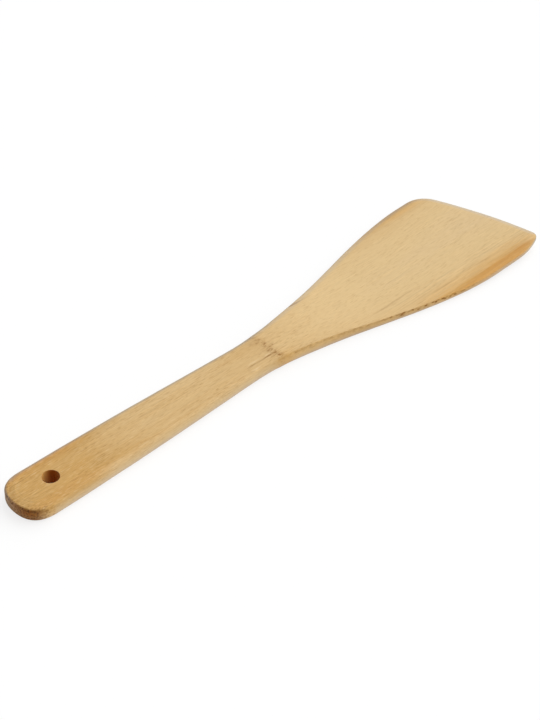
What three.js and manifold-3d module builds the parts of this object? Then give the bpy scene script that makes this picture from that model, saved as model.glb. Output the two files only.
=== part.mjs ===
// A one-piece bamboo kitchen spatula: a flat handle with a hanging hole, a narrow neck, and a wide thin blade
// whose tip runs on a slant. Millimetres, +Z up. It lies on its back on Z = 0, with +X from the handle end
// to the tip, and its origin is under the middle of its overall box.
import * as THREE from 'three';
import { mergeVertices } from 'three/addons/utils/BufferGeometryUtils.js';
import Module from 'manifold-3d';

// Outline, seen from above
const LENGTH = 300; // handle end to the foremost corner of the blade
const HANDLE_END_WIDTH = 27.1;
const HANDLE_END_ROUND = 13.8; // length of the rounded end
const HANDLE_END_FULLNESS = 0.66; // 0.55 is a plain ellipse, 1 is square
const HANDLE_PULL = 53; // how far the handle keeps its end width before it tapers
const NECK_FROM_END = 136.5; // handle end to the narrowest place
const NECK_WIDTH = 20.3;
const NECK_PULL = 14.5; // how far the taper eases before the neck
const FLARE_NECK_PULL = 46; // how far the neck carries on into the flare
const FLARE_BLADE_PULL = 41.5; // how far the blade's sides carry back into the flare
const BLADE_WIDTH = 66.6;
const BLADE_STRAIGHT = 4.6; // parallel stretch of side before the short corner
const SHORT_CORNER_RADIUS = 12.9; // on +Y, the side that the slant cuts short
const LONG_CORNER_RADIUS = 3.6; // on -Y
const LONG_CORNER_EASE_RADIUS = 39; // the side turns in slowly before the long corner
const EASE_TURN = THREE.MathUtils.degToRad(24.5); // how far the side turns in before a corner
const TIP_SLANT = THREE.MathUtils.degToRad(17.3); // of the tip edge, where it crosses the middle
const TIP_RADIUS = 246; // the tip edge is a slow arc

// Heights, seen from the side
const HANDLE_THICKNESS = 7;
const BLADE_THICKNESS = 3.7; // where the thinning ends
const TIP_THICKNESS = 2.9;
const THINNING_FROM_NECK = 1; // neck to where the top starts to fall
const THINNING_FROM_TIP = 82; // foremost corner back to where the fall ends
const TIP_LIFT = 2.8; // underside of the tip above the table
const LIFT_FROM_TIP = 112; // foremost corner back to where the underside leaves the table

// Edges
const END_EDGE_RADIUS = 1.2; // at the handle end, which is only lightly sanded
const END_EDGE_LENGTH = 20; // handle end to where the handle's own rounding is full
const HANDLE_EDGE_RADIUS = 2.3;
const BLADE_EDGE_RADIUS = 0.55;
const EDGE_CHANGE_LENGTH = 35; // neck onwards, from the handle's rounding to the blade's
const SHOULDER_WIDTH = 3; // sanded slope along the blade's rim
const SHOULDER_DROP = 0.5;
const SHOULDER_FROM_TIP = 95; // foremost corner back to where the slope starts to show
const SHOULDER_FADE_LENGTH = 50;

// Hanging hole
const HOLE_DIAMETER = 8;
const HOLE_FROM_END = 21.8;
const HOLE_OFF_CENTRE = 0.8; // towards +Y, as it was drilled by eye
const HOLE_CHAMFER = 0.3;

// Fineness of the facets
const END_STEPS = 8;
const HANDLE_STEPS = 12;
const FLARE_STEPS = 20;
const STRAIGHT_STEPS = 2;
const EASE_STEPS = 3;
const CORNER_STEPS = 6;
const TIP_STEPS = 4;
const EDGE_STEPS = 4;
const SHOULDER_STEPS = 3;
const HOLE_STEPS = 40;

const HANDLE_HALF = HANDLE_END_WIDTH / 2;
const NECK_HALF = NECK_WIDTH / 2;
const BLADE_HALF = BLADE_WIDTH / 2;
const { lerp, smoothstep } = THREE.MathUtils;

// Each blade corner is an easing arc off the side, and then a corner arc that touches the inside of the tip
// arc. This finds how far the corner's centre lies ahead of the tip arc's centre, and how far back from it
// the easing arc's centre lies. Each side is drawn with its own Y counted outward from the middle.
function cornerReach({ sign, cornerRadius, easeRadius }) {
  const tipCentreY = -sign * TIP_RADIUS * Math.sin(TIP_SLANT);
  const between = easeRadius - cornerRadius;
  const back = between * Math.sin(EASE_TURN);
  const cornerY = BLADE_HALF - easeRadius + between * Math.cos(EASE_TURN);
  const ahead = Math.sqrt((TIP_RADIUS - cornerRadius) ** 2 - (cornerY - tipCentreY) ** 2);
  return { tipCentreY, back, cornerY, ahead };
}

// The short corner keeps one radius through both of its arcs.
const LEFT = { sign: 1, cornerRadius: SHORT_CORNER_RADIUS, easeRadius: SHORT_CORNER_RADIUS };
const RIGHT = { sign: -1, cornerRadius: LONG_CORNER_RADIUS, easeRadius: LONG_CORNER_EASE_RADIUS };
const TIP_CENTRE_X = LENGTH - LONG_CORNER_RADIUS - cornerReach(RIGHT).ahead;
const WIDEST_X = TIP_CENTRE_X + cornerReach(LEFT).ahead - BLADE_STRAIGHT;

// One side's outline, from the middle of the handle end to the middle of the tip, as points with outward
// normals. Both sides have the same number of points, station for station.
function sideOutline(side) {
  const { tipCentreY, back, cornerY, ahead } = cornerReach(side);
  const { cornerRadius, easeRadius } = side;
  const at = (x, y) => new THREE.Vector2(x, y);
  const cornerX = TIP_CENTRE_X + ahead;
  const easeX = cornerX - back;
  const easeEnd = Math.PI / 2 - EASE_TURN;
  const cornerEnd = Math.asin((cornerY - tipCentreY) / (TIP_RADIUS - cornerRadius));
  const endStart = at(HANDLE_END_ROUND, HANDLE_HALF);
  const neck = at(NECK_FROM_END, NECK_HALF);
  const widest = at(WIDEST_X, BLADE_HALF);
  const handleEnd = new THREE.CubicBezierCurve(
    at(0, 0),
    at(0, HANDLE_HALF * HANDLE_END_FULLNESS),
    at(HANDLE_END_ROUND * (1 - HANDLE_END_FULLNESS), HANDLE_HALF),
    endStart,
  );
  const handle = new THREE.CubicBezierCurve(
    endStart,
    at(HANDLE_END_ROUND + HANDLE_PULL, HANDLE_HALF),
    at(NECK_FROM_END - NECK_PULL, NECK_HALF),
    neck,
  );
  const flare = new THREE.CubicBezierCurve(
    neck,
    at(NECK_FROM_END + FLARE_NECK_PULL, NECK_HALF),
    at(WIDEST_X - FLARE_BLADE_PULL, BLADE_HALF),
    widest,
  );
  const straight = new THREE.LineCurve(widest, at(easeX, BLADE_HALF));
  const turnIn = (x, y, radius, from, to) => new THREE.EllipseCurve(x, y, radius, radius, from, to, true);
  const ease = turnIn(easeX, BLADE_HALF - easeRadius, easeRadius, Math.PI / 2, easeEnd);
  const corner = turnIn(cornerX, cornerY, cornerRadius, easeEnd, cornerEnd);
  const tip = turnIn(TIP_CENTRE_X, tipCentreY, TIP_RADIUS, cornerEnd, side.sign * TIP_SLANT);
  const stretches = [
    [handleEnd, END_STEPS],
    [handle, HANDLE_STEPS],
    [flare, FLARE_STEPS],
    [straight, STRAIGHT_STEPS],
    [ease, EASE_STEPS],
    [corner, CORNER_STEPS],
    [tip, TIP_STEPS],
  ];
  const outline = [];
  for (const [curve, steps] of stretches) {
    for (let step = outline.length ? 1 : 0; step <= steps; step += 1) {
      const point = curve.getPoint(step / steps);
      const along = curve.getTangent(step / steps);
      outline.push({ x: point.x, y: side.sign * point.y, outX: -along.y, outY: side.sign * along.x });
    }
  }
  return outline;
}

// Heights and edge sizes at a station along the length. An edge radius is limited by its wall, and the rim's
// slope by the blade's corners.
const WALL_SHARE = 0.45;
const CORNER_SHARE = 0.7;
const thinning = (x) => smoothstep(x, NECK_FROM_END + THINNING_FROM_NECK, LENGTH - THINNING_FROM_TIP);
const underside = (x) => TIP_LIFT * Math.max(0, (x - LENGTH + LIFT_FROM_TIP) / LIFT_FROM_TIP) ** 2;
const thickness = (x) => {
  const towardTip = Math.max(0, (x - LENGTH + THINNING_FROM_TIP) / THINNING_FROM_TIP);
  return lerp(HANDLE_THICKNESS, lerp(BLADE_THICKNESS, TIP_THICKNESS, towardTip), thinning(x));
};
const topside = (x) => underside(x) + thickness(x);
const shoulderShare = (x) => {
  const start = LENGTH - SHOULDER_FROM_TIP;
  return smoothstep(x, start, start + SHOULDER_FADE_LENGTH);
};
const shoulderDrop = (x) => SHOULDER_DROP * shoulderShare(x);
const shoulderWidth = (x) => {
  const roomInCorner = CORNER_SHARE * Math.min(SHORT_CORNER_RADIUS, LONG_CORNER_RADIUS);
  return lerp(NECK_HALF / 2, Math.min(SHOULDER_WIDTH, roomInCorner), shoulderShare(x));
};
const edgeRadius = (x) => {
  const offEnd = lerp(END_EDGE_RADIUS, HANDLE_EDGE_RADIUS, smoothstep(x, 0, END_EDGE_LENGTH));
  const change = smoothstep(x, NECK_FROM_END, NECK_FROM_END + EDGE_CHANGE_LENGTH);
  const wanted = lerp(offEnd, BLADE_EDGE_RADIUS, change);
  return Math.min(wanted, WALL_SHARE * (thickness(x) - shoulderDrop(x)));
};

// The rim's section at one outline point, from the flat underside round the edge to the flat top: each entry
// is a point of the body.
function rimSection({ x, y, outX, outY }) {
  const radius = edgeRadius(x);
  const section = [];
  const place = (inset, heightAt) => {
    const pointX = x - outX * inset;
    section.push([pointX - LENGTH / 2, y - outY * inset, heightAt(pointX)]);
  };
  for (let step = 0; step <= EDGE_STEPS; step += 1) {
    const turn = (Math.PI / 2) * (step / EDGE_STEPS);
    const rise = radius * (1 - Math.cos(turn));
    place(radius * (1 - Math.sin(turn)), (pointX) => underside(pointX) + rise);
  }
  for (let step = 0; step <= EDGE_STEPS; step += 1) {
    const turn = (Math.PI / 2) * (step / EDGE_STEPS);
    const fall = radius * (1 - Math.sin(turn)) + shoulderDrop(x);
    place(radius * (1 - Math.cos(turn)), (pointX) => topside(pointX) - fall);
  }
  for (let step = 1; step <= SHOULDER_STEPS; step += 1) {
    const inward = step / SHOULDER_STEPS;
    const fall = shoulderDrop(x) * (1 - inward) ** 2;
    place(radius + shoulderWidth(x) * inward, (pointX) => topside(pointX) - fall);
  }
  return section;
}

// The solid blank: rim sections all round, closed above and below by triangles to a row of points along the
// middle line. The end and the tip close as fans on the first and the last of those points.
function blankGeometry() {
  const left = sideOutline(LEFT);
  const right = sideOutline(RIGHT);
  const last = left.length - 1;
  const loop = [...left, ...right.slice(1, last).reverse()];
  const firstMiddle = left.findIndex((point) => point.x >= HANDLE_HALF);
  const lastMiddle = END_STEPS + HANDLE_STEPS + FLARE_STEPS;
  const sections = loop.map(rimSection);
  const rows = sections[0].length;
  const positions = sections.flat();
  const triangles = [];
  for (let index = 0; index < loop.length; index += 1) {
    const next = (index + 1) % loop.length;
    for (let row = 0; row + 1 < rows; row += 1) {
      const a = index * rows + row;
      const b = next * rows + row;
      triangles.push([a, a + 1, b + 1], [a, b + 1, b]);
    }
  }
  const addMiddle = (heightAt) => {
    const start = positions.length;
    for (let index = firstMiddle; index <= lastMiddle; index += 1) {
      positions.push([left[index].x - LENGTH / 2, 0, heightAt(left[index].x)]);
    }
    return start;
  };
  const closeFace = (middleStart, row, facesUp) => {
    for (let index = 0; index < loop.length; index += 1) {
      const next = (index + 1) % loop.length;
      const middleOf = (loopIndex) => {
        const station = loopIndex <= last ? loopIndex : loop.length - loopIndex;
        return middleStart + THREE.MathUtils.clamp(station, firstMiddle, lastMiddle) - firstMiddle;
      };
      const [a, b] = [index * rows + row, next * rows + row];
      const [middleA, middleB] = [middleOf(index), middleOf(next)];
      const pair = [[a, middleB, b]];
      if (middleA !== middleB) {
        pair.push([a, middleA, middleB]);
      }
      triangles.push(...pair.map((corners) => (facesUp ? corners : corners.reverse())));
    }
  };
  closeFace(addMiddle(underside), 0, false);
  closeFace(addMiddle(topside), rows - 1, true);
  const geometry = new THREE.BufferGeometry();
  geometry.setAttribute('position', new THREE.Float32BufferAttribute(positions.flat(), 3));
  geometry.setIndex(triangles.flat());
  return geometry;
}

// The drill: a plug a little longer than the handle is thick, which widens at both faces for the rim chamfer.
function drillGeometry() {
  const radius = HOLE_DIAMETER / 2;
  const overrun = radius;
  const profile = [
    new THREE.Vector2(0, -overrun),
    new THREE.Vector2(radius + HOLE_CHAMFER + overrun, -overrun),
    new THREE.Vector2(radius, HOLE_CHAMFER),
    new THREE.Vector2(radius, HANDLE_THICKNESS - HOLE_CHAMFER),
    new THREE.Vector2(radius + HOLE_CHAMFER + overrun, HANDLE_THICKNESS + overrun),
    new THREE.Vector2(0, HANDLE_THICKNESS + overrun),
  ];
  const drill = new THREE.LatheGeometry(profile, HOLE_STEPS);
  drill.rotateX(Math.PI / 2);
  drill.translate(HOLE_FROM_END - LENGTH / 2, HOLE_OFF_CENTRE, 0);
  return drill;
}

const wasm = await Module();
wasm.setup();

function toSolid(geometry) {
  geometry.deleteAttribute('normal');
  geometry.deleteAttribute('uv');
  const merged = mergeVertices(geometry, 1e-4);
  const index = merged.getIndex().array;
  const corners = [];
  for (let start = 0; start < index.length; start += 3) {
    const [a, b, c] = index.slice(start, start + 3);
    if (a !== b && b !== c && c !== a) {
      corners.push(a, b, c);
    }
  }
  const vertProperties = merged.getAttribute('position').array;
  const triVerts = new Uint32Array(corners);
  return new wasm.Manifold(new wasm.Mesh({ numProp: 3, vertProperties, triVerts }));
}

function toGeometry(solid) {
  const { vertProperties, triVerts } = solid.getMesh();
  const geometry = new THREE.BufferGeometry();
  geometry.setAttribute('position', new THREE.BufferAttribute(vertProperties, 3));
  geometry.setIndex(new THREE.BufferAttribute(triVerts, 1));
  geometry.computeVertexNormals();
  return geometry;
}

const bamboo = new THREE.MeshStandardMaterial({ color: 0xd9b988, roughness: 0.5, metalness: 0 });
const body = new THREE.Mesh(toGeometry(toSolid(blankGeometry()).subtract(toSolid(drillGeometry()))), bamboo);
body.name = 'spatula_body';

const spatula = new THREE.Group();
spatula.add(body);

export default spatula;
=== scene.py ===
import math

import bmesh
import bpy
import numpy as np
from mathutils import Matrix, Vector, noise


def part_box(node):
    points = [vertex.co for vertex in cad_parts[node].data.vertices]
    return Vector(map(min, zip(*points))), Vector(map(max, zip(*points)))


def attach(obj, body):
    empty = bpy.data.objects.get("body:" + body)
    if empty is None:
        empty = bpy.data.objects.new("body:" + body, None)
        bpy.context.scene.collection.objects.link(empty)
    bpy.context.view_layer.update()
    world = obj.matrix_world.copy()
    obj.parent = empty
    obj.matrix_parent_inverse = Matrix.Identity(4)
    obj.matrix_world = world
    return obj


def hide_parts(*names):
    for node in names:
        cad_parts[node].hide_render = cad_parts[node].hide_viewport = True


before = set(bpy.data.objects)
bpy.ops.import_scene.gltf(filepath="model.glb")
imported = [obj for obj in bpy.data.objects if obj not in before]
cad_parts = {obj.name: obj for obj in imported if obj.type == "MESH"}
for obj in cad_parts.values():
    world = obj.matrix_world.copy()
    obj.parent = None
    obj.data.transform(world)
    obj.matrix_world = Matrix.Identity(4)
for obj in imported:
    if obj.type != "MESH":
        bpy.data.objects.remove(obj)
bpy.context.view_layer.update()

# Spatula body, sawn outline: one flat length of bamboo from the wall of a single culm, outer skin side up.
# The saw leaves a round handle end, a slim neck, a flared blade and a slanted tip with two unlike corners.
low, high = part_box("spatula_body")
length = high.x - low.x
blade_half = (high.y - low.y) / 2
handle_thickness = high.z - low.z
end_half = 0.01355
end_round = 0.0138
end_fullness = 0.66
handle_pull = 0.053
neck_at = 0.1365
neck_half = 0.01015
neck_pull = 0.0145
flare_neck_pull = 0.046
flare_blade_pull = 0.0415
blade_straight = 0.0046
short_corner = 0.0129
long_corner = 0.0036
long_corner_ease = 0.039
ease_turn = math.radians(24.5)
tip_slant = math.radians(17.3)
tip_radius = 0.246
end_steps, handle_steps, flare_steps, straight_steps = 30, 80, 100, 8
ease_steps, corner_steps, tip_steps = 10, 20, 26


def corner_reach(sign, radius, easing):
    """How far a blade corner's centre lies ahead of the tip arc's centre and of the easing arc's, and how
    far across it and the tip arc's centre lie."""
    tip_across = -sign * tip_radius * math.sin(tip_slant)
    back = (easing - radius) * math.sin(ease_turn)
    corner_across = blade_half - easing + (easing - radius) * math.cos(ease_turn)
    ahead = math.sqrt((tip_radius - radius) ** 2 - (corner_across - tip_across) ** 2)
    return ahead, back, corner_across, tip_across


def bow(start, leave, arrive, end, steps):
    """A cubic curve as rows of place and heading."""
    t = np.linspace(0, 1, steps + 1)[:, None]
    a, b, c, d = (np.array(point) for point in (start, leave, arrive, end))
    place = a * (1 - t) ** 3 + 3 * b * t * (1 - t) ** 2 + 3 * c * t**2 * (1 - t) + d * t**3
    heading = (b - a) * (1 - t) ** 2 + 2 * (c - b) * t * (1 - t) + (d - c) * t**2
    return np.hstack([place, heading])


def arc(centre, radius, start, end, steps):
    """A clockwise arc as rows of place and heading."""
    turn = np.linspace(start, end, steps + 1)
    spoke = np.c_[np.cos(turn), np.sin(turn)]
    return np.hstack([np.array(centre) + radius * spoke, np.c_[spoke[:, 1], -spoke[:, 0]]])


tip_centre = length - long_corner - corner_reach(-1, long_corner, long_corner_ease)[0]
widest_at = tip_centre + corner_reach(1, short_corner, short_corner)[0] - blade_straight


def sawn_side(sign, radius, easing):
    """One side's cut from mid handle end to mid tip, as places and the ways that face outward."""
    ahead, back, corner_across, tip_across = corner_reach(sign, radius, easing)
    corner_at = tip_centre + ahead
    ease_at = corner_at - back
    ease_end = math.pi / 2 - ease_turn
    corner_end = math.asin((corner_across - tip_across) / (tip_radius - radius))
    run = ease_at - widest_at
    stretches = [
        bow(
            (0, 0),
            (0, end_half * end_fullness),
            (end_round * (1 - end_fullness), end_half),
            (end_round, end_half),
            end_steps,
        ),
        bow(
            (end_round, end_half),
            (end_round + handle_pull, end_half),
            (neck_at - neck_pull, neck_half),
            (neck_at, neck_half),
            handle_steps,
        ),
        bow(
            (neck_at, neck_half),
            (neck_at + flare_neck_pull, neck_half),
            (widest_at - flare_blade_pull, blade_half),
            (widest_at, blade_half),
            flare_steps,
        ),
        bow(
            (widest_at, blade_half),
            (widest_at + run / 3, blade_half),
            (ease_at - run / 3, blade_half),
            (ease_at, blade_half),
            straight_steps,
        ),
        arc((ease_at, blade_half - easing), easing, math.pi / 2, ease_end, ease_steps),
        arc((corner_at, corner_across), radius, ease_end, corner_end, corner_steps),
        arc((tip_centre, tip_across), tip_radius, corner_end, sign * tip_slant, tip_steps),
    ]
    rows = np.vstack([stretches[0]] + [stretch[1:] for stretch in stretches[1:]])
    place, heading = rows[:, :2], rows[:, 2:]
    heading = heading / np.linalg.norm(heading, axis=1)[:, None]
    return place * (1, sign), np.c_[-heading[:, 1], heading[:, 0]] * (1, sign)


left, left_out = sawn_side(1, short_corner, short_corner)
right, right_out = sawn_side(-1, long_corner, long_corner_ease)
middle = len(left) - 1
outline = np.vstack([left, right[middle - 1 : 0 : -1]])
outward = np.vstack([left_out, right_out[middle - 1 : 0 : -1]])
around = len(outline)

# Spatula body, planed faces and sanded edges: the top is planed down from the neck to a thin tip, and the
# underside curves up off the table near it. The handle's edges are sanded well round, those of its end and
# of the blade only broken, and the blade's rim slopes off towards the tip.
blade_thickness = 0.0037
tip_thickness = 0.0029
thinning_from_neck = 0.001
thinning_from_tip = 0.082
tip_lift = 0.0028
lift_from_tip = 0.112
end_edge = 0.0012
under_end_edge = 0.0019
end_edge_length = 0.02
handle_edge = 0.0023
blade_edge = 0.00055
under_blade_edge = 0.0009
edge_change = 0.035
slope_width = 0.003
slope_drop = 0.0005
slope_from_tip = 0.095
slope_fade = 0.05
handle_ring = neck_half / 2
# The rim greys where it faces the short side and the tip: painted shade on the short side, which faces away
# from the light, and wear at the tip
shade_and_wear_toward = (0.68, 0.73)
shade_and_wear_spread = (0.2, 0.5)
tip_wear = 0.4
tip_spread = (0.5, 0.9)
grey_outer = 0.0014
grey_inner = 0.0032
edge_steps, wall_steps, slope_steps = 8, 3, 7


def ease(x, start, end):
    """A soft step from 0 to 1 as x goes from start to end."""
    t = np.clip((x - start) / (end - start), 0, 1)
    return t * t * (3 - 2 * t)


def underside(x):
    """Height of the underside, which lies flat and then lifts towards the tip."""
    return tip_lift * np.clip((x - length + lift_from_tip) / lift_from_tip, 0, None) ** 2


def topside(x):
    """Height of the top, which is planed down past the neck."""
    toward_tip = np.clip((x - length + thinning_from_tip) / thinning_from_tip, 0, None)
    planed = blade_thickness + (tip_thickness - blade_thickness) * toward_tip
    share = ease(x, neck_at + thinning_from_neck, length - thinning_from_tip)
    return underside(x) + handle_thickness + (planed - handle_thickness) * share


points = []
faces = []


def lay(x, y, z):
    """Adds a row of points, x counted from the handle end, and gives their numbers."""
    first = len(points)
    points.extend(np.c_[x - length / 2, y, z].tolist())
    return np.arange(first, len(points))


def skin(row, next_row, closed=False):
    """Covers the strip between two rows of points, which may share points, with faces."""
    count = len(row) if closed else len(row) - 1
    for here in range(count):
        there = (here + 1) % len(row)
        corners = (row[here], row[there], next_row[there], next_row[here])
        faces.append([int(corner) for corner in dict.fromkeys(corners)])


slope_share = ease(outline[:, 0], length - slope_from_tip, length - slope_from_tip + slope_fade)


def edge_radius(at_end, on_blade):
    """The edge's rounding all round: its own size at the handle end, then the handle's and the blade's."""
    radius = at_end + (handle_edge - at_end) * ease(outline[:, 0], 0, end_edge_length)
    return radius + (on_blade - radius) * ease(outline[:, 0], neck_at, neck_at + edge_change)


edge = edge_radius(end_edge, blade_edge)
under_edge = edge_radius(under_end_edge, under_blade_edge)
drop = slope_drop * slope_share
slope = handle_ring + (slope_width - handle_ring) * slope_share
worn_tip = 1 + tip_wear * ease(outward[:, 0], *tip_spread)
shaded_side_and_worn_tip = ease(outward @ shade_and_wear_toward, *shade_and_wear_spread) * worn_tip
rim_rows = []
rim_closeness = []
rim_shade_and_wear = []


def rim_row(inset, face, rise, closeness):
    """One row of points all round the rim, set in from the sawn line and raised from a face."""
    x, y = (outline - outward * inset[:, None]).T
    rim_rows.append(lay(x, y, face(x) + rise))
    rim_closeness.append(closeness)
    rim_shade_and_wear.append(shaded_side_and_worn_tip * (1 - ease(inset, grey_outer, grey_inner)))


for step in range(edge_steps + 1):
    turn = math.pi / 2 * step / edge_steps
    rise = under_edge * (1 - math.cos(turn))
    rim_row(under_edge * (1 - math.sin(turn)), underside, rise, step / edge_steps)
wall = topside(outline[:, 0]) - underside(outline[:, 0]) - drop - edge - under_edge
for step in range(1, wall_steps):
    rim_row(np.zeros(around), underside, under_edge + wall * step / wall_steps, 1)
for step in range(edge_steps + 1):
    turn = math.pi / 2 * step / edge_steps
    rise = -drop - edge * (1 - math.sin(turn))
    rim_row(edge * (1 - math.cos(turn)), topside, rise, 1 - step / edge_steps)
for step in range(1, slope_steps + 1):
    share = step / slope_steps
    rim_row(edge + slope * share, topside, -drop * (1 - share) ** 2, 0)
for row, next_row in zip(rim_rows, rim_rows[1:]):
    skin(row, next_row, closed=True)

# Spatula body, flat faces: the planed top and underside, sanded smooth. Each is a ladder of rungs from rim
# to rim, from past the hanging hole to the blade's corners, and rows that swell from there to the tip.
ladder_start = 0.046
corner_start = middle - tip_steps - corner_steps - ease_steps
first_rung = int(np.argmax(left[:, 0] > ladder_start))
columns = 2 * (middle - corner_start)
swell_rows = 16


def flat_face(rim, height):
    """Covers one face from the first rung to the tip, and gives the first rung."""
    laid = np.array(points) + (length / 2, 0, 0)
    share = np.arange(1, columns)[:, None] / columns
    rungs = []
    for station in range(first_rung, corner_start + 1):
        start, end = laid[[rim[station], rim[around - station]]]
        x, y, z = (start + (end - start) * share).T
        rungs.append(np.r_[rim[station], lay(x, y, height(x)), rim[around - station]])
    for rung, next_rung in zip(rungs, rungs[1:]):
        skin(rung, next_rung)
    tip = rim[corner_start : around - corner_start + 1]
    flat = laid[tip[0]] + (laid[tip[-1]] - laid[tip[0]]) * share
    row = rungs[-1]
    for step in range(1, swell_rows):
        x, y, z = (flat + (laid[tip[1:-1]] - flat) * step / swell_rows).T
        next_row = np.r_[tip[0], lay(x, y, height(x)), tip[-1]]
        skin(row, next_row)
        row = next_row
    skin(row, tip)
    return rungs[0]


top_rung = flat_face(rim_rows[-1], topside)
under_rung = flat_face(rim_rows[0], underside)

# Spatula body, hanging hole: drilled through the handle by eye, a little off its middle and off square.
# Sandpaper broke its upper rim. The faces round it run in from the handle end's rim and the first rung.
hole_radius = 0.004
hole_exit_radius = 0.0038
hole_at = 0.02155
hole_across = 0.00105
hole_lean = -0.0005
hole_rim = 0.0002
gather_to_hole = 1.6
hole_rows, hole_rim_steps, hole_wall_steps = 12, 4, 10


def end_loop(rim, rung):
    """The rim of the handle end, closed by the first rung."""
    return np.r_[rim[: first_rung + 1], rung[1:-1], rim[around - first_rung :]]


top_loop = end_loop(rim_rows[-1], top_rung)
under_loop = end_loop(rim_rows[0], under_rung)
laid = np.array(points) + (length / 2, 0, 0)
bearing = np.arctan2(laid[top_loop, 1] - hole_across, laid[top_loop, 0] - hole_at)


def hole_line(radius, height):
    """The hole's round at a height, as rows of x and y; lower down it leans off square."""
    lean = hole_lean * (1 - height / handle_thickness)
    x = hole_at + lean + radius * np.cos(bearing)
    return x, hole_across + lean + radius * np.sin(bearing)


def hole_ring(radius, height):
    """Lays the points of the hole's round at a height."""
    return lay(*hole_line(radius, height), np.full(len(bearing), height))


def face_to_hole(loop, reach, height):
    """Covers a face of the handle end from its loop in to the hole's rim, and gives the rim."""
    rim_x, rim_y = hole_line(reach, height)
    row = loop
    for step in range(1, hole_rows):
        share = 1 - (1 - step / hole_rows) ** gather_to_hole
        x = laid[loop, 0] + (rim_x - laid[loop, 0]) * share
        y = laid[loop, 1] + (rim_y - laid[loop, 1]) * share
        next_row = lay(x, y, np.full(len(loop), height))
        skin(row, next_row, closed=True)
        row = next_row
    rim = hole_ring(reach, height)
    skin(row, rim, closed=True)
    return rim


bore = [face_to_hole(top_loop, hole_radius + hole_rim, handle_thickness)]
for step in range(1, hole_rim_steps + 1):
    turn = math.pi / 2 * step / hole_rim_steps
    radius = hole_radius + hole_rim * (1 - math.sin(turn))
    bore.append(hole_ring(radius, handle_thickness - hole_rim * (1 - math.cos(turn))))
for step in range(1, hole_wall_steps):
    drilled = (handle_thickness - hole_rim) * step / hole_wall_steps
    radius = hole_radius + (hole_exit_radius - hole_radius) * step / hole_wall_steps
    bore.append(hole_ring(radius, handle_thickness - hole_rim - drilled))
bore.append(face_to_hole(under_loop, hole_exit_radius, 0))
for ring, next_ring in zip(bore, bore[1:]):
    skin(ring, next_ring, closed=True)

# All rows and faces so far make one closed mesh
mesh = bpy.data.meshes.new("bamboo_spatula")
mesh.from_pydata(points, [], faces)
shaping = bmesh.new()
shaping.from_mesh(mesh)
bmesh.ops.recalc_face_normals(shaping, faces=shaping.faces)
shaping.to_mesh(mesh)
shaping.free()
mesh.polygons.foreach_set("use_smooth", [True] * len(mesh.polygons))

# Spatula body, hand finish: sanded by hand, so the faces are never dead flat and the rim is less even.
# The culm's joint is harder than the rest, and stays just proud where it crosses the neck.
joint_at = 0.147
joint_half_width = 0.0022
joint_rise = 0.000072
joint_lumps = 4 / 3
face_wave = 0.00005
rim_wave = 0.0001
ripple_size = (0.03, 0.011, 0.02)
dent_size = (0.013, 0.013, 0.013)
lump_size = (0.004, 0.003, 0.003)


def uneven(spot, size, draw):
    """Soft noise about 0 with its own size along x, y and z; each draw is another pattern."""
    x, y, z = (distance / reach for distance, reach in zip(spot, size))
    return noise.noise((x, y, z + draw))


closeness = np.zeros(len(points))
shade_and_wear_grey = np.zeros(len(points))
for row, near, rim_shade_and_wear_value in zip(rim_rows, rim_closeness, rim_shade_and_wear):
    closeness[row] = near
    shade_and_wear_grey[row] = rim_shade_and_wear_value
# The rim's grey, painted shade on the short side and wear at the tip, is kept on the points for the
# material
mesh.attributes.new("shade_and_wear_grey", "FLOAT", "POINT").data.foreach_set("value", shade_and_wear_grey)
ways = np.zeros(3 * len(points), np.float32)
mesh.vertex_normals.foreach_get("vector", ways)
ways = ways.reshape(-1, 3)
sanded = np.array(points)
for number, at_rim in enumerate(closeness):
    spot = sanded[number] + (length / 2, 0, 0)
    wave = face_wave * uneven(spot, ripple_size, 0) + rim_wave * at_rim * uneven(spot, dent_size, 7)
    at_joint = math.exp(-(((spot[0] - joint_at) / joint_half_width) ** 2))
    proud = joint_rise * at_joint * (1 + joint_lumps * uneven(spot, lump_size, 3))
    sanded[number] += ways[number] * (wave + proud)
sanded[:, 2] = np.maximum(sanded[:, 2], 0)
mesh.vertices.foreach_set("co", sanded.astype(np.float32).ravel())
mesh.update()

spatula = bpy.data.objects.new("bamboo_spatula", mesh)
bpy.context.scene.collection.objects.link(spatula)
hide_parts("spatula_body")
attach(spatula, "root")

# Bamboo: bare, fine-sanded culm wall. Fibre bundles run along the whole length, pale and far apart deep in
# the wall, orange and crowded near the skin, so planing and sawing bring out other tones at every depth.
bamboo = bpy.data.materials.new("bamboo")
bamboo.use_nodes = True
tree = bamboo.node_tree
shader = tree.nodes["Principled BSDF"]
mesh.materials.append(bamboo)


def feed(socket, value):
    """Links another node's output to a socket, or sets a plain value there."""
    if isinstance(value, bpy.types.NodeSocket):
        tree.links.new(value, socket)
    else:
        socket.default_value = value


def add_node(kind, *values, **settings):
    """Adds a shader node, feeds its inputs in order, and gives its first output."""
    made = tree.nodes.new("ShaderNode" + kind)
    for name, setting in settings.items():
        setattr(made, name, setting)
    for socket, value in zip(made.inputs, values):
        feed(socket, value)
    return made.outputs[0]


def plus(first, second):
    return add_node("Math", first, second, operation="ADD")


def minus(first, second):
    return add_node("Math", first, second, operation="SUBTRACT")


def times(first, second):
    return add_node("Math", first, second, operation="MULTIPLY")


def fade(value, start, end, low=0.0, high=1.0):
    """A soft step from low to high as value goes from start to end."""
    return add_node("MapRange", value, start, end, low, high, interpolation_type="SMOOTHSTEP")


def in_cells(position, along_size, across_size):
    """Counts a position in cells of this size along the fibres and across them, in millimetres."""
    cell = (1 / along_size, 1 / across_size, 1 / across_size)
    return add_node("VectorMath", position, cell, operation="MULTIPLY")


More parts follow.
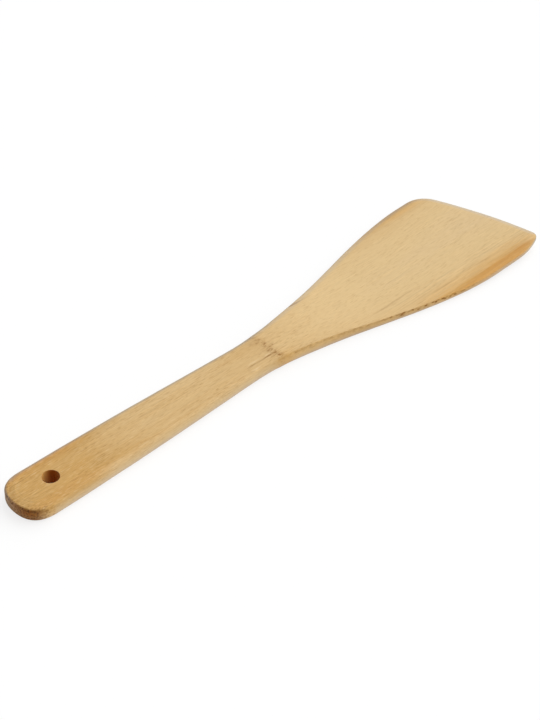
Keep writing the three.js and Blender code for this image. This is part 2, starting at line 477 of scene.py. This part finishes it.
def cloud(position, along_size, across_size, detail=2.0, rough=0.5):
    """Soft noise about 0, with its own size along the fibres and across them, in millimetres."""
    made = tree.nodes.new("ShaderNodeTexNoise")
    tree.links.new(in_cells(position, along_size, across_size), made.inputs["Vector"])
    made.inputs["Scale"].default_value = 1.0
    made.inputs["Detail"].default_value = detail
    made.inputs["Roughness"].default_value = rough
    return minus(made.outputs["Fac"], 0.5)


def cells(position, along_size, across_size):
    """Distance to the nearest of many scattered points, in cells of this size in millimetres."""
    made = tree.nodes.new("ShaderNodeTexVoronoi")
    tree.links.new(in_cells(position, along_size, across_size), made.inputs["Vector"])
    made.inputs["Scale"].default_value = 1.0
    return made.outputs["Distance"]


def measure(kind, *vectors):
    """A number from vectors: the length of one, or the dot product of two."""
    made = tree.nodes.new("ShaderNodeVectorMath")
    made.operation = kind
    for socket, vector in zip(made.inputs, vectors):
        feed(socket, vector)
    return made.outputs["Value"]


def parts_of(vector):
    """A vector's x, y and z."""
    made = tree.nodes.new("ShaderNodeSeparateXYZ")
    tree.links.new(vector, made.inputs[0])
    return made.outputs


def mark(position, x, y, half_length, half_width):
    """1 at a place on the faces, falling off to 0 around it, in millimetres."""
    scale = (1 / half_length, 1 / half_width, 0)
    offset = (-x / half_length, -y / half_width, 0)
    away = add_node("VectorMath", position, scale, offset, operation="MULTIPLY_ADD")
    return add_node("Math", math.exp(-1), measure("DOT_PRODUCT", away, away), operation="POWER")


def tint(amount, colour, other):
    """Goes from one colour to the other by amount; a mix node has its colours as inputs 6 and 7."""
    made = tree.nodes.new("ShaderNodeMix")
    made.data_type = "RGBA"
    feed(made.inputs[0], amount)
    feed(made.inputs[6], colour)
    feed(made.inputs[7], other)
    return made.outputs[2]


# Places in millimetres, counted from the handle end, and the way that the surface faces there
mm_in_metre = 1000
coordinates = tree.nodes.new("ShaderNodeTexCoord")
place = add_node(
    "VectorMath",
    coordinates.outputs["Object"],
    (mm_in_metre, mm_in_metre, mm_in_metre),
    (mm_in_metre * length / 2, 0, 0),
    operation="MULTIPLY_ADD",
)
along, across, up = parts_of(place)
tip_ward, short_ward, upward = parts_of(coordinates.outputs["Normal"])
handle_ward = times(tip_ward, -1.0)
side = fade(add_node("Math", upward, operation="ABSOLUTE"), 0.95, 0.30)

# The culm's joint crosses the neck as a line that bends back on the short side
bend = add_node("Math", minus(across, 2.0), 0.0, operation="MAXIMUM")
joint_along = plus(along, times(times(bend, bend), 0.045))
joint_place = add_node("CombineXYZ", joint_along, across, up)
all_across = 60
joint = mark(joint_place, 145.5, 0, 4.5, all_across)

# Fibres wander a little, and swirl where they pass through the joint
wander = times(cloud(place, 55, 12), 1.4)
swirl = times(times(cloud(place, 3.5, 2.4), joint), 2.6)
fibre_across = plus(across, plus(wander, swirl))
fibre_place = add_node("CombineXYZ", along, fibre_across, up)

# Closeness to the skin sets the tone: height above the lifting underside, the culm's curve, and slow drift
culm_middle, culm_half, culm_steepness, culm_rise = 1.5, 34.0, 1.4, 7.6
from_middle = times(minus(fibre_across, culm_middle), 1 / culm_half)
bowed = add_node("Math", times(from_middle, from_middle), culm_steepness, operation="POWER")
culm_curve = times(bowed, culm_rise)
lifted = add_node("MapRange", along, mm_in_metre * (length - lift_from_tip), mm_in_metre * length)
height = minus(up, times(times(lifted, lifted), mm_in_metre * tip_lift))
run_out = fade(along, 74, 36, 0.0, 1.6)
patch = times(cloud(place, 40, 7), 1.8)
streak = times(cloud(fibre_place, 120, 1.9, 3.0, 0.7), plus(0.8, times(culm_curve, 0.8)))
crowding = plus(plus(height, run_out), times(culm_curve, 0.3))
skin_edge = times(fade(across, 7.5, 13.0), fade(along, 70, 35, 0.0, 1.2))
pale_strip = times(fade(across, -20, -26), fade(across, -31.5, -28.5))
pale_flare = times(pale_strip, fade(along, 240, 286, -1.3, 0.0))
pale_corner = times(fade(across, -19, -24), fade(along, 284, 297, 0.0, -1.0))
drift = plus(plus(run_out, skin_edge), plus(patch, plus(pale_flare, pale_corner)))
skinward = plus(plus(height, culm_curve), plus(drift, streak))
depth = add_node("MapRange", skinward, 2.0, 11.0)
ramp = tree.nodes.new("ShaderNodeValToRGB")
tree.links.new(depth, ramp.inputs[0])

# Tones from deep in the wall to the skin
tones = [
    (0.000, (0.675, 0.492, 0.270)),
    (0.190, (0.685, 0.490, 0.240)),
    (0.350, (0.676, 0.477, 0.230)),
    (0.556, (0.630, 0.424, 0.190)),
    (0.733, (0.556, 0.330, 0.107)),
    (0.867, (0.555, 0.295, 0.080)),
    (0.978, (0.510, 0.250, 0.060)),
]
while len(ramp.color_ramp.elements) < len(tones):
    ramp.color_ramp.elements.new(0.5)
for stop, (skin_share, colour) in zip(ramp.color_ramp.elements, tones):
    stop.position = skin_share
    stop.color = (*colour, 1)
wood = ramp.outputs["Color"]

# Fibre bundles as fine dark dashes, pale pith between them, and hairlines, all clearer towards the skin
clearness = times(fade(crowding, 4.0, 9.0, 0.58, 1.25), plus(1.0, times(cloud(place, 24, 6), 1.6)))
bundle = fade(cells(fibre_place, 9, 0.8), 0.42, 0.10)
dash = cloud(fibre_place, 3.2, 0.65, 1.5, 0.6)
hair = cloud(fibre_place, 18, 0.24, 1.0, 0.5)
bundle_brown = (0.40, 0.20, 0.06, 1)
dash_brown = (0.36, 0.19, 0.05, 1)
pale_pith = (0.76, 0.57, 0.32, 1)
wood = tint(times(times(bundle, clearness), 0.22), wood, bundle_brown)
wood = tint(times(fade(dash, -0.02, -0.26), times(clearness, 0.42)), wood, dash_brown)
wood = tint(times(fade(dash, 0.02, 0.26), times(clearness, 0.24)), wood, pale_pith)

# Sanding the handle end round lays its layers open as rings, and fainter veins run by the blade's long side
ring_length, ring_half = 14.0, 13.6
to_end = add_node("Math", along, ring_length, operation="MINIMUM")
end_way = add_node(
    "CombineXYZ",
    minus(times(to_end, 1 / ring_length), 1.0),
    times(across, 1 / ring_half),
    0.0,
)
end_ring = measure("LENGTH", end_way)
near_end = fade(along, 15, 8)
ring_place = add_node("CombineXYZ", times(end_ring, ring_length), times(across, 0.1), 0.0)
contour = times(cloud(ring_place, 0.8, 1.0, 1.0, 0.5), times(near_end, fade(end_ring, 0.40, 0.75)))
veined = times(fade(across, -13.0, -21.0), fade(along, 195, 215))
vein = times(cloud(fibre_place, 26, 0.75, 1.0, 0.5), veined)
end_shade = fade(along, 9, 3, 0.0, -0.07)
hair_light = plus(times(times(hair, clearness), 0.4), end_shade)
light = plus(1.0, plus(hair_light, plus(times(vein, 0.42), times(contour, 0.5))))
wood = add_node("VectorMath", wood, light, operation="MULTIPLY")

# Streaks, flecks and pale lines, each with its place along and across, half length, half width and strength
streaks = [
    (46.0, 8.6, 24.0, 1.60, 0.09),
    (133.2, -5.6, 3.0, 0.36, 0.52),
    (142.4, -5.8, 3.8, 0.33, 0.85),
    (176.5, 14.0, 6.0, 0.40, 0.75),
    (207.5, -15.8, 6.0, 0.36, 0.42),
    (219.0, -15.4, 8.0, 0.30, 0.36),
    (223.0, -24.5, 4.5, 0.28, 0.36),
    (241.0, -24.0, 6.5, 0.28, 0.36),
    (266.5, -24.0, 4.5, 0.30, 0.36),
    (291.0, -23.1, 3.5, 0.35, 0.18),
]
joint_flecks = [
    (146.8, -8.4, 0.6, 0.50, 0.85),
    (145.2, -7.4, 1.6, 0.25, 0.50),
    (146.2, -6.3, 0.6, 0.35, 0.55),
    (147.2, -5.3, 0.7, 0.50, 0.50),
    (145.2, -3.1, 0.8, 0.60, 0.60),
    (147.6, -1.5, 0.8, 0.60, 0.55),
    (149.4, -1.2, 0.6, 0.45, 0.55),
    (147.2, 1.7, 1.1, 0.50, 0.50),
    (144.6, 4.3, 0.9, 0.50, 0.45),
    (147.2, 5.1, 1.0, 0.60, 0.40),
    (141.8, 5.3, 1.4, 0.80, 0.28),
    (146.2, 7.8, 0.9, 0.60, 0.35),
    (148.6, -8.5, 0.6, 0.40, 0.45),
]
pale_lines = [
    (47.0, -11.8, 9.0, 1.5, 0.26),
    (100.0, 7.0, 18.0, 3.5, 0.12),
    (132.5, -8.5, 2.5, 0.5, 0.30),
    (134.4, -4.4, 3.0, 0.4, 0.40),
    (143.2, -4.8, 2.6, 0.3, 0.45),
]
streak_brown = (0.265, 0.12, 0.022, 1)
pale_straw = (0.84, 0.66, 0.40, 1)
ragged = add_node(
    "VectorMath",
    place,
    add_node("CombineXYZ", times(cloud(place, 1.1, 0.9), 1.4), times(cloud(place, 1.8, 1.0), 0.6), 0.0),
    operation="ADD",
)


def marks(places):
    """Marks with ragged outlines, added up."""
    total, *others = (times(mark(ragged, *shape), strength) for *shape, strength in places)
    for other in others:
        total = plus(total, other)
    return total


wavy = times(cloud(place, 60, 1.7, 1.0, 0.5), 7.0)
wavy_place = add_node("CombineXYZ", plus(joint_along, wavy), across, up)
wavy_line = times(mark(wavy_place, 146.4, 0, 0.75, all_across), fade(cloud(place, 3.0, 1.1), -0.16, 0.10))
fleck_band = mark(joint_place, 146.6, 0, 2.2, all_across)
fleck_row = times(fade(cells(joint_place, 1.9, 0.9), 0.42, 0.20), fleck_band)
joint_dark = plus(times(joint, 0.10), plus(times(wavy_line, 0.42), times(fleck_row, 0.30)))
wood = tint(plus(joint_dark, marks(streaks + joint_flecks)), wood, streak_brown)
wood = tint(marks(pale_lines), wood, pale_straw)

# The densest fibres: an orange core in a golden band by the blade's long side, and a line by the short one
core_orange = (0.47, 0.20, 0.035, 1)
core_gold = (0.66, 0.34, 0.07, 1)
core = marks([(271.0, -30.2, 17.0, 1.2, 0.50), (288.0, -29.9, 6.0, 1.3, 0.44)])
wood = tint(core, wood, core_orange)
golden_along = times(fade(along, 212, 232), fade(along, 296, 276, 0.35, 1.0))
golden_top = times(fade(across, -20, -27.5), fade(upward, 0.30, 0.95))
golden_lines = fade(cloud(fibre_place, 20, 0.6, 1.0, 0.5), -0.2, 0.2, 0.14, 0.40)
golden_band = times(times(golden_along, golden_top), golden_lines)
short_side_line = marks([(266.0, 29.0, 14.0, 1.2, 0.32)])
wood = tint(plus(golden_band, short_side_line), wood, core_gold)

# Sawn sides go greyer low down with painted reflection of the white table, golden where the saw crosses the
# fibres at a slant, partly with painted light, and brown at the end
table_reflection_grey = (0.53, 0.45, 0.40, 1)
tip_straw = (0.60, 0.52, 0.40, 1)
slant_gold_and_light = (0.76, 0.42, 0.08, 1)
neck_gold = (0.60, 0.31, 0.055, 1)
end_lit_brown = (0.43, 0.26, 0.145, 1)
end_deep_brown = (0.28, 0.088, 0.009, 1)
end_low_brown = (0.33, 0.24, 0.13, 1)
thickness = fade(
    along,
    mm_in_metre * (neck_at + thinning_from_neck),
    mm_in_metre * (length - thinning_from_tip),
    mm_in_metre * handle_thickness,
    mm_in_metre * blade_thickness,
)
wall_rise = add_node("Math", height, thickness, operation="DIVIDE")
slant_cut = times(side, fade(handle_ward, -0.02, 0.13))
cross_cut = fade(handle_ward, 0.15, 0.75)
# Painted reflection of the white table greys the sides low down
wood = tint(times(side, fade(wall_rise, 0.66, 0.12, 0.04, 0.46)), wood, table_reflection_grey)
wood = tint(times(side, fade(along, 238, 262, 0.0, 0.30)), wood, tip_straw)
# Golden on the slanted sides facing the handle: partly the cut fibres' colour, partly painted light
wood = tint(times(slant_cut, fade(height, 0.8, 2.2, 0.10, 0.32)), wood, slant_gold_and_light)
# The end's brown is deepest on the long side, and lighter and greyer towards the short side with painted
# light
end_tone_and_light = tint(fade(across, 4.0, -8.5), end_lit_brown, end_deep_brown)
wood = tint(cross_cut, wood, end_tone_and_light)
wood = tint(times(cross_cut, fade(wall_rise, 0.66, 0.34, 0.0, 0.30)), wood, end_low_brown)
wood = tint(marks([(149.6, -10.8, 4.2, 1.6, 0.34)]), wood, neck_gold)

# Cut bundles show on the sides as dark dots, thickest under the upper edge
slant_dot_brown = (0.28, 0.115, 0.012, 1)
end_dot_brown = (0.085, 0.030, 0.005, 1)
speckle_brown = (0.30, 0.14, 0.03, 1)
dot = fade(cells(ragged, 2.2, 1.3), 0.58, 0.28)
fine_dot = fade(cells(ragged, 2.4, 0.8), 0.52, 0.26)
edge_line = times(fade(wall_rise, 0.60, 0.86), fade(cloud(place, 2.4, 1.6, 2.0, 0.6), -0.14, 0.10))
dots_along = times(fade(along, 196, 218, 0.16, 0.95), fade(along, 258, 240))
dotted = times(dot, times(fade(wall_rise, 0.30, 0.62), dots_along))
bead = times(mark(place, 211.5, -24.3, 1.5, 2.0), fade(wall_rise, 0.40, 0.65, 0.0, 0.6))
slant_dark = plus(plus(dotted, bead), times(edge_line, fade(along, 254, 236, 0.10, 0.34)))
wood = tint(times(slant_cut, slant_dark), wood, slant_dot_brown)
upper_dark = times(fade(wall_rise, 0.62, 0.90), fade(across, 0.0, -8.0, 0.0, 0.34))
cross_dark = plus(plus(times(fine_dot, 0.75), upper_dark), times(edge_line, 0.28))
wood = tint(times(cross_cut, cross_dark), wood, end_dot_brown)
speckle = times(times(near_end, fade(end_ring, 0.70, 0.97)), fade(cells(ragged, 1.5, 0.9), 0.55, 0.28))
wood = tint(times(speckle, 0.58), wood, speckle_brown)

# The short side and the worn tip are greyer, most at their upper edge; on the short side this is painted
# shade, as it faces away from the light
shade_and_wear_blue_grey = (0.30, 0.35, 0.40, 1)
short_side_shade_grey = (0.30, 0.26, 0.20, 1)
tip_grey = (0.30, 0.27, 0.21, 1)
from_above = fade(upward, 0.05, 0.60, 0.62, 1.0)
shade_and_wear_attribute = tree.nodes.new("ShaderNodeAttribute")
shade_and_wear_attribute.attribute_name = "shade_and_wear_grey"
# Blue-grey along the rim: painted shade on the short side, wear at the tip
wood = tint(times(times(shade_and_wear_attribute.outputs["Fac"], from_above), 0.22), wood, shade_and_wear_blue_grey)
# Painted shade on the faces turned to the short side, away from the light
short_tilt = minus(short_ward, fade(along, 205, 245, 0.0, 0.14))
short_side_shade = times(fade(short_tilt, 0.03, 0.16), fade(along, 60, 220, 0.34, 0.42))
wood = tint(times(from_above, short_side_shade), wood, short_side_shade_grey)
wood = tint(times(from_above, fade(tip_ward, 0.24, 0.36, 0.0, 0.85)), wood, tip_grey)

# The drill scorched the hole brown, and painted light makes its wall gold where it faces the tip's long
# corner
scorched_brown = (0.29, 0.066, 0.0, 1)
hole_lit_gold = (0.77, 0.43, 0.125, 1)
toward_corner = (0.735, 0.678)
hole_x, hole_y, hole_reach = (mm_in_metre * size for size in (hole_at, hole_across, hole_radius))
by_hole = fade(mark(place, hole_x, hole_y, hole_reach, hole_reach), 0.15, 0.22)
corner_ward = minus(times(tip_ward, toward_corner[0]), times(short_ward, toward_corner[1]))
# Painted light on the hole's wall where it faces the tip's long corner, and a little on the opposite wall
hole_lit_share = plus(fade(corner_ward, 0.0, 1.25), fade(corner_ward, -0.35, -0.70, 0.0, 0.12))
scorch_and_light = tint(hole_lit_share, scorched_brown, hole_lit_gold)
wood = tint(times(by_hole, side), wood, scorch_and_light)
tree.links.new(wood, shader.inputs["Base Color"])

# A dry sanded sheen, dullest on the handle end's cut, and fibres that can just be felt
roughness = plus(0.52, plus(times(hair, 0.2), times(cross_cut, 0.2)))
tree.links.new(roughness, shader.inputs["Roughness"])
shader.inputs["Specular IOR Level"].default_value = 0.2

grain = tree.nodes.new("ShaderNodeBump")
grain.inputs["Strength"].default_value = 0.3
grain.inputs["Distance"].default_value = 0.0001
tree.links.new(minus(hair, times(bundle, 0.3)), grain.inputs["Height"])
tree.links.new(grain.outputs["Normal"], shader.inputs["Normal"])

# Studio: a white table in soft light from all round, and one broad soft light from above, behind and right.
# Seen directly the table is washed out to white, with only a light shadow left under the spatula. Inside
# the hanging hole it isn't, and lies in the hole's own shade.
table_reach = 6.0
table_gap = 0.0001
wash = 0.76
fill_light = 0.48
light_from = Vector((0.74, -0.13, 0.66))


def seen_directly(shading):
    """1 for the rays that show a background: straight from the camera, mirrored or let through."""
    paths = shading.nodes.new("ShaderNodeLightPath")
    seen = paths.outputs["Is Camera Ray"]
    for kind in ("Is Glossy Ray", "Is Transmission Ray"):
        either = shading.nodes.new("ShaderNodeMath")
        either.operation = "MAXIMUM"
        shading.links.new(seen, either.inputs[0])
        shading.links.new(paths.outputs[kind], either.inputs[1])
        seen = either.outputs[0]
    return seen


table_mesh = bpy.data.meshes.new("table")
table_mesh.from_pydata(
    [
        (-table_reach, -table_reach, 0),
        (table_reach, -table_reach, 0),
        (table_reach, table_reach, 0),
        (-table_reach, table_reach, 0),
    ],
    [],
    [(0, 1, 2, 3)],
)
table = bpy.data.objects.new("table", table_mesh)
table.location.z = -table_gap
bpy.context.scene.collection.objects.link(table)
paper = bpy.data.materials.new("white_paper")
paper.use_nodes = True
paper_tree = paper.node_tree
paper_shader = paper_tree.nodes["Principled BSDF"]
paper_shader.inputs["Base Color"].default_value = (0.98, 0.98, 0.98, 1)
paper_shader.inputs["Roughness"].default_value = 0.9
paper_shader.inputs["Specular IOR Level"].default_value = 0.0
glow = paper_tree.nodes.new("ShaderNodeEmission")
washed = paper_tree.nodes.new("ShaderNodeMixShader")
table_place = paper_tree.nodes.new("ShaderNodeTexCoord")
from_hole = paper_tree.nodes.new("ShaderNodeVectorMath")
from_hole.operation = "DISTANCE"
from_hole.inputs[1].default_value = (hole_at - length / 2, hole_across, 0)
paper_tree.links.new(table_place.outputs["Object"], from_hole.inputs[0])
wash_here = paper_tree.nodes.new("ShaderNodeMapRange")
wash_here.inputs["From Min"].default_value = hole_radius
wash_here.inputs["From Max"].default_value = 2 * hole_radius
wash_here.inputs["To Max"].default_value = wash
paper_tree.links.new(from_hole.outputs["Value"], wash_here.inputs[0])
wash_share = paper_tree.nodes.new("ShaderNodeMath")
wash_share.operation = "MULTIPLY"
paper_tree.links.new(seen_directly(paper_tree), wash_share.inputs[0])
paper_tree.links.new(wash_here.outputs[0], wash_share.inputs[1])
paper_tree.links.new(wash_share.outputs[0], washed.inputs[0])
paper_tree.links.new(paper_shader.outputs[0], washed.inputs[1])
paper_tree.links.new(glow.outputs[0], washed.inputs[2])
paper_tree.links.new(washed.outputs[0], paper_tree.nodes["Material Output"].inputs["Surface"])
table_mesh.materials.append(paper)

world = bpy.data.worlds.new("studio")
bpy.context.scene.world = world
world.use_nodes = True
sky = world.node_tree.nodes["Background"]
level = world.node_tree.nodes.new("ShaderNodeMapRange")
world.node_tree.links.new(seen_directly(world.node_tree), level.inputs[0])
level.inputs["To Min"].default_value = fill_light
level.inputs["To Max"].default_value = 1.0
world.node_tree.links.new(level.outputs[0], sky.inputs["Strength"])
sky.inputs["Color"].default_value = (1, 1, 1, 1)

soft_light = bpy.data.lights.new("soft_light", "SUN")
soft_light.energy = 2.66
soft_light.angle = math.radians(80)
soft_lamp = bpy.data.objects.new("soft_light", soft_light)
soft_lamp.location = light_from
soft_lamp.rotation_euler = (-light_from).to_track_quat("-Z", "Y").to_euler()
bpy.context.scene.collection.objects.link(soft_lamp)

# Camera: the photograph's view, down along the spatula from beside its handle end. The turn, rise, roll and
# aim lay the outline over the photograph's, with the lens a metre away.
view_turn = math.radians(-42.712)
view_rise = math.radians(42.0)
view_roll = math.radians(-0.194)
view_distance = 1.0
pixels_per_metre = 2169.0
picture_height = 720
aim = (-0.00071, -0.00291)
rightward = Vector((math.cos(view_turn), math.sin(view_turn), 0))
forward = Vector((
    -math.sin(view_turn) * math.cos(view_rise),
    math.cos(view_turn) * math.cos(view_rise),
    -math.sin(view_rise),
))
view_up = rightward.cross(forward)
rolled_right = rightward * math.cos(view_roll) + view_up * math.sin(view_roll)
rolled_up = view_up * math.cos(view_roll) - rightward * math.sin(view_roll)
eye = rolled_right * aim[0] + rolled_up * aim[1] - forward * view_distance
optics = bpy.data.cameras.new("photo_view")
optics.sensor_width = 36.0
optics.lens = optics.sensor_width * pixels_per_metre * view_distance / picture_height
camera = bpy.data.objects.new("photo_view", optics)
turned = Matrix((rolled_right, rolled_up, -forward)).transposed().to_4x4()
camera.matrix_world = Matrix.Translation(eye) @ turned
bpy.context.scene.collection.objects.link(camera)
bpy.context.scene.camera = camera
bpy.context.scene.view_settings.view_transform = "Standard"
